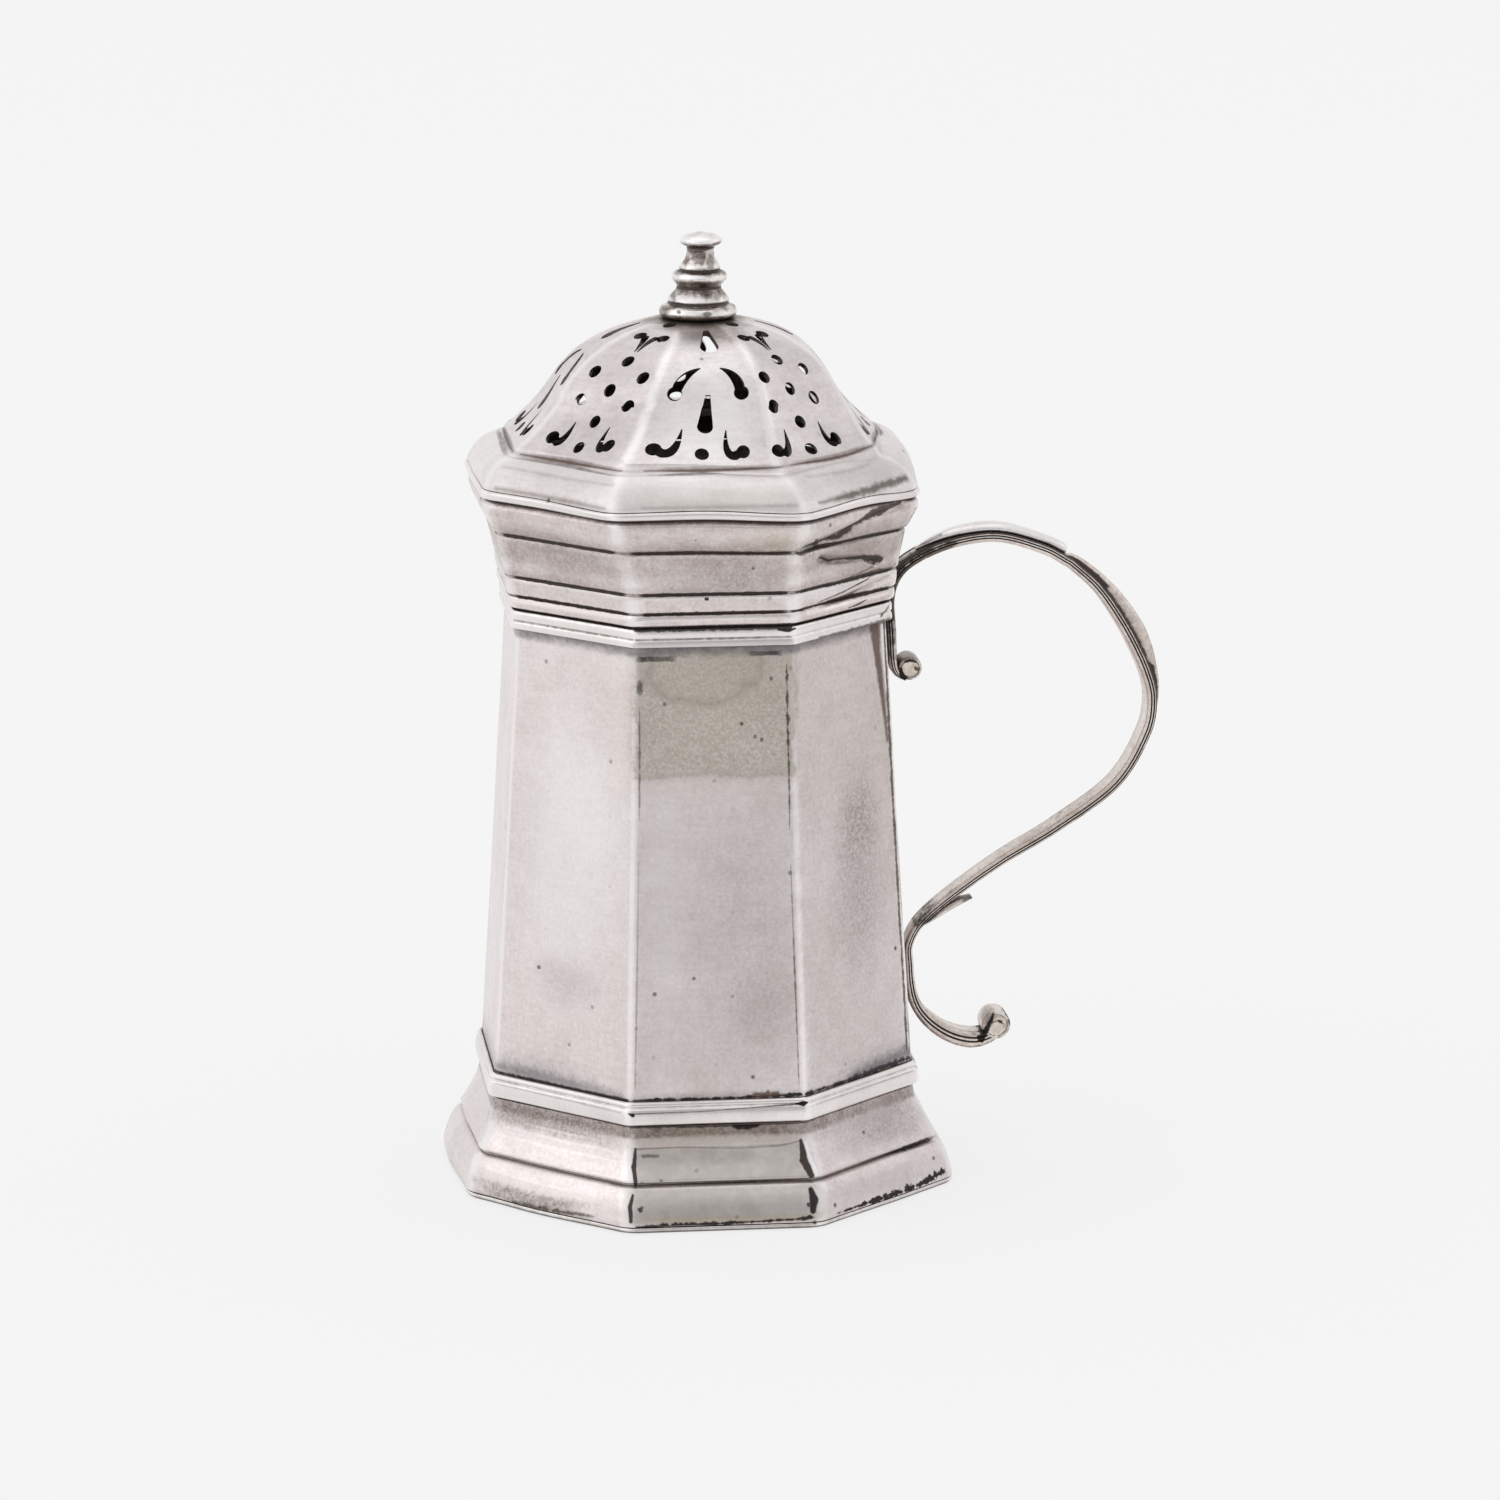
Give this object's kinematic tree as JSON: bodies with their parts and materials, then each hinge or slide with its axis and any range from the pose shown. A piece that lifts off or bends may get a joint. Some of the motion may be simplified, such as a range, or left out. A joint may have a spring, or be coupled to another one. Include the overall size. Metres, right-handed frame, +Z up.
{
  "type": "sugar dredger",
  "caption": "Octagonal silver sugar dredger with a tapered body on a spreading foot, a scroll handle, and a pull-off cover with a pierced dome and a turned finial.",
  "frame": {"origin": "on the table, under the middle of the whole outline's box, so the body's own axis stands 13.6 mm towards -X", "axes": "+Z up along the body's axis, +X towards the handle, -Y out of the panel that faces the viewer"},
  "size_m": [0.089, 0.0618, 0.1177],
  "materials": {
    "satin_silver": "sterling silver with a worn satin surface and light tarnish",
    "bright_silver": "sterling silver, brighter where hands polish it",
    "worn_silver": "sterling silver, worn and pitted, darker in its reeded grooves",
    "inside_silver": "dull sterling silver of the inner faces"
  },
  "bodies": {
    "body": {"foot_rim": "worn_silver", "foot": "satin_silver", "base_plate": "inside_silver", "body_shell": "satin_silver", "lower_wire": "bright_silver", "top_wire": "bright_silver", "neck_sleeve": "inside_silver", "handle_strap": "worn_silver", "thumb_rest": "worn_silver", "handle_spur": "worn_silver", "handle_pad": "worn_silver"},
    "cover": {"cover_band": "satin_silver", "cornice_wire": "bright_silver", "cornice": "bright_silver", "pierced_dome": "bright_silver", "finial": "bright_silver"}
  },
  "joints": [
    {"name": "cover_lift", "type": "slide", "parent": "body", "child": "cover", "axis": [0, 0, 1], "range_m": [0, 0.045]}
  ]
}
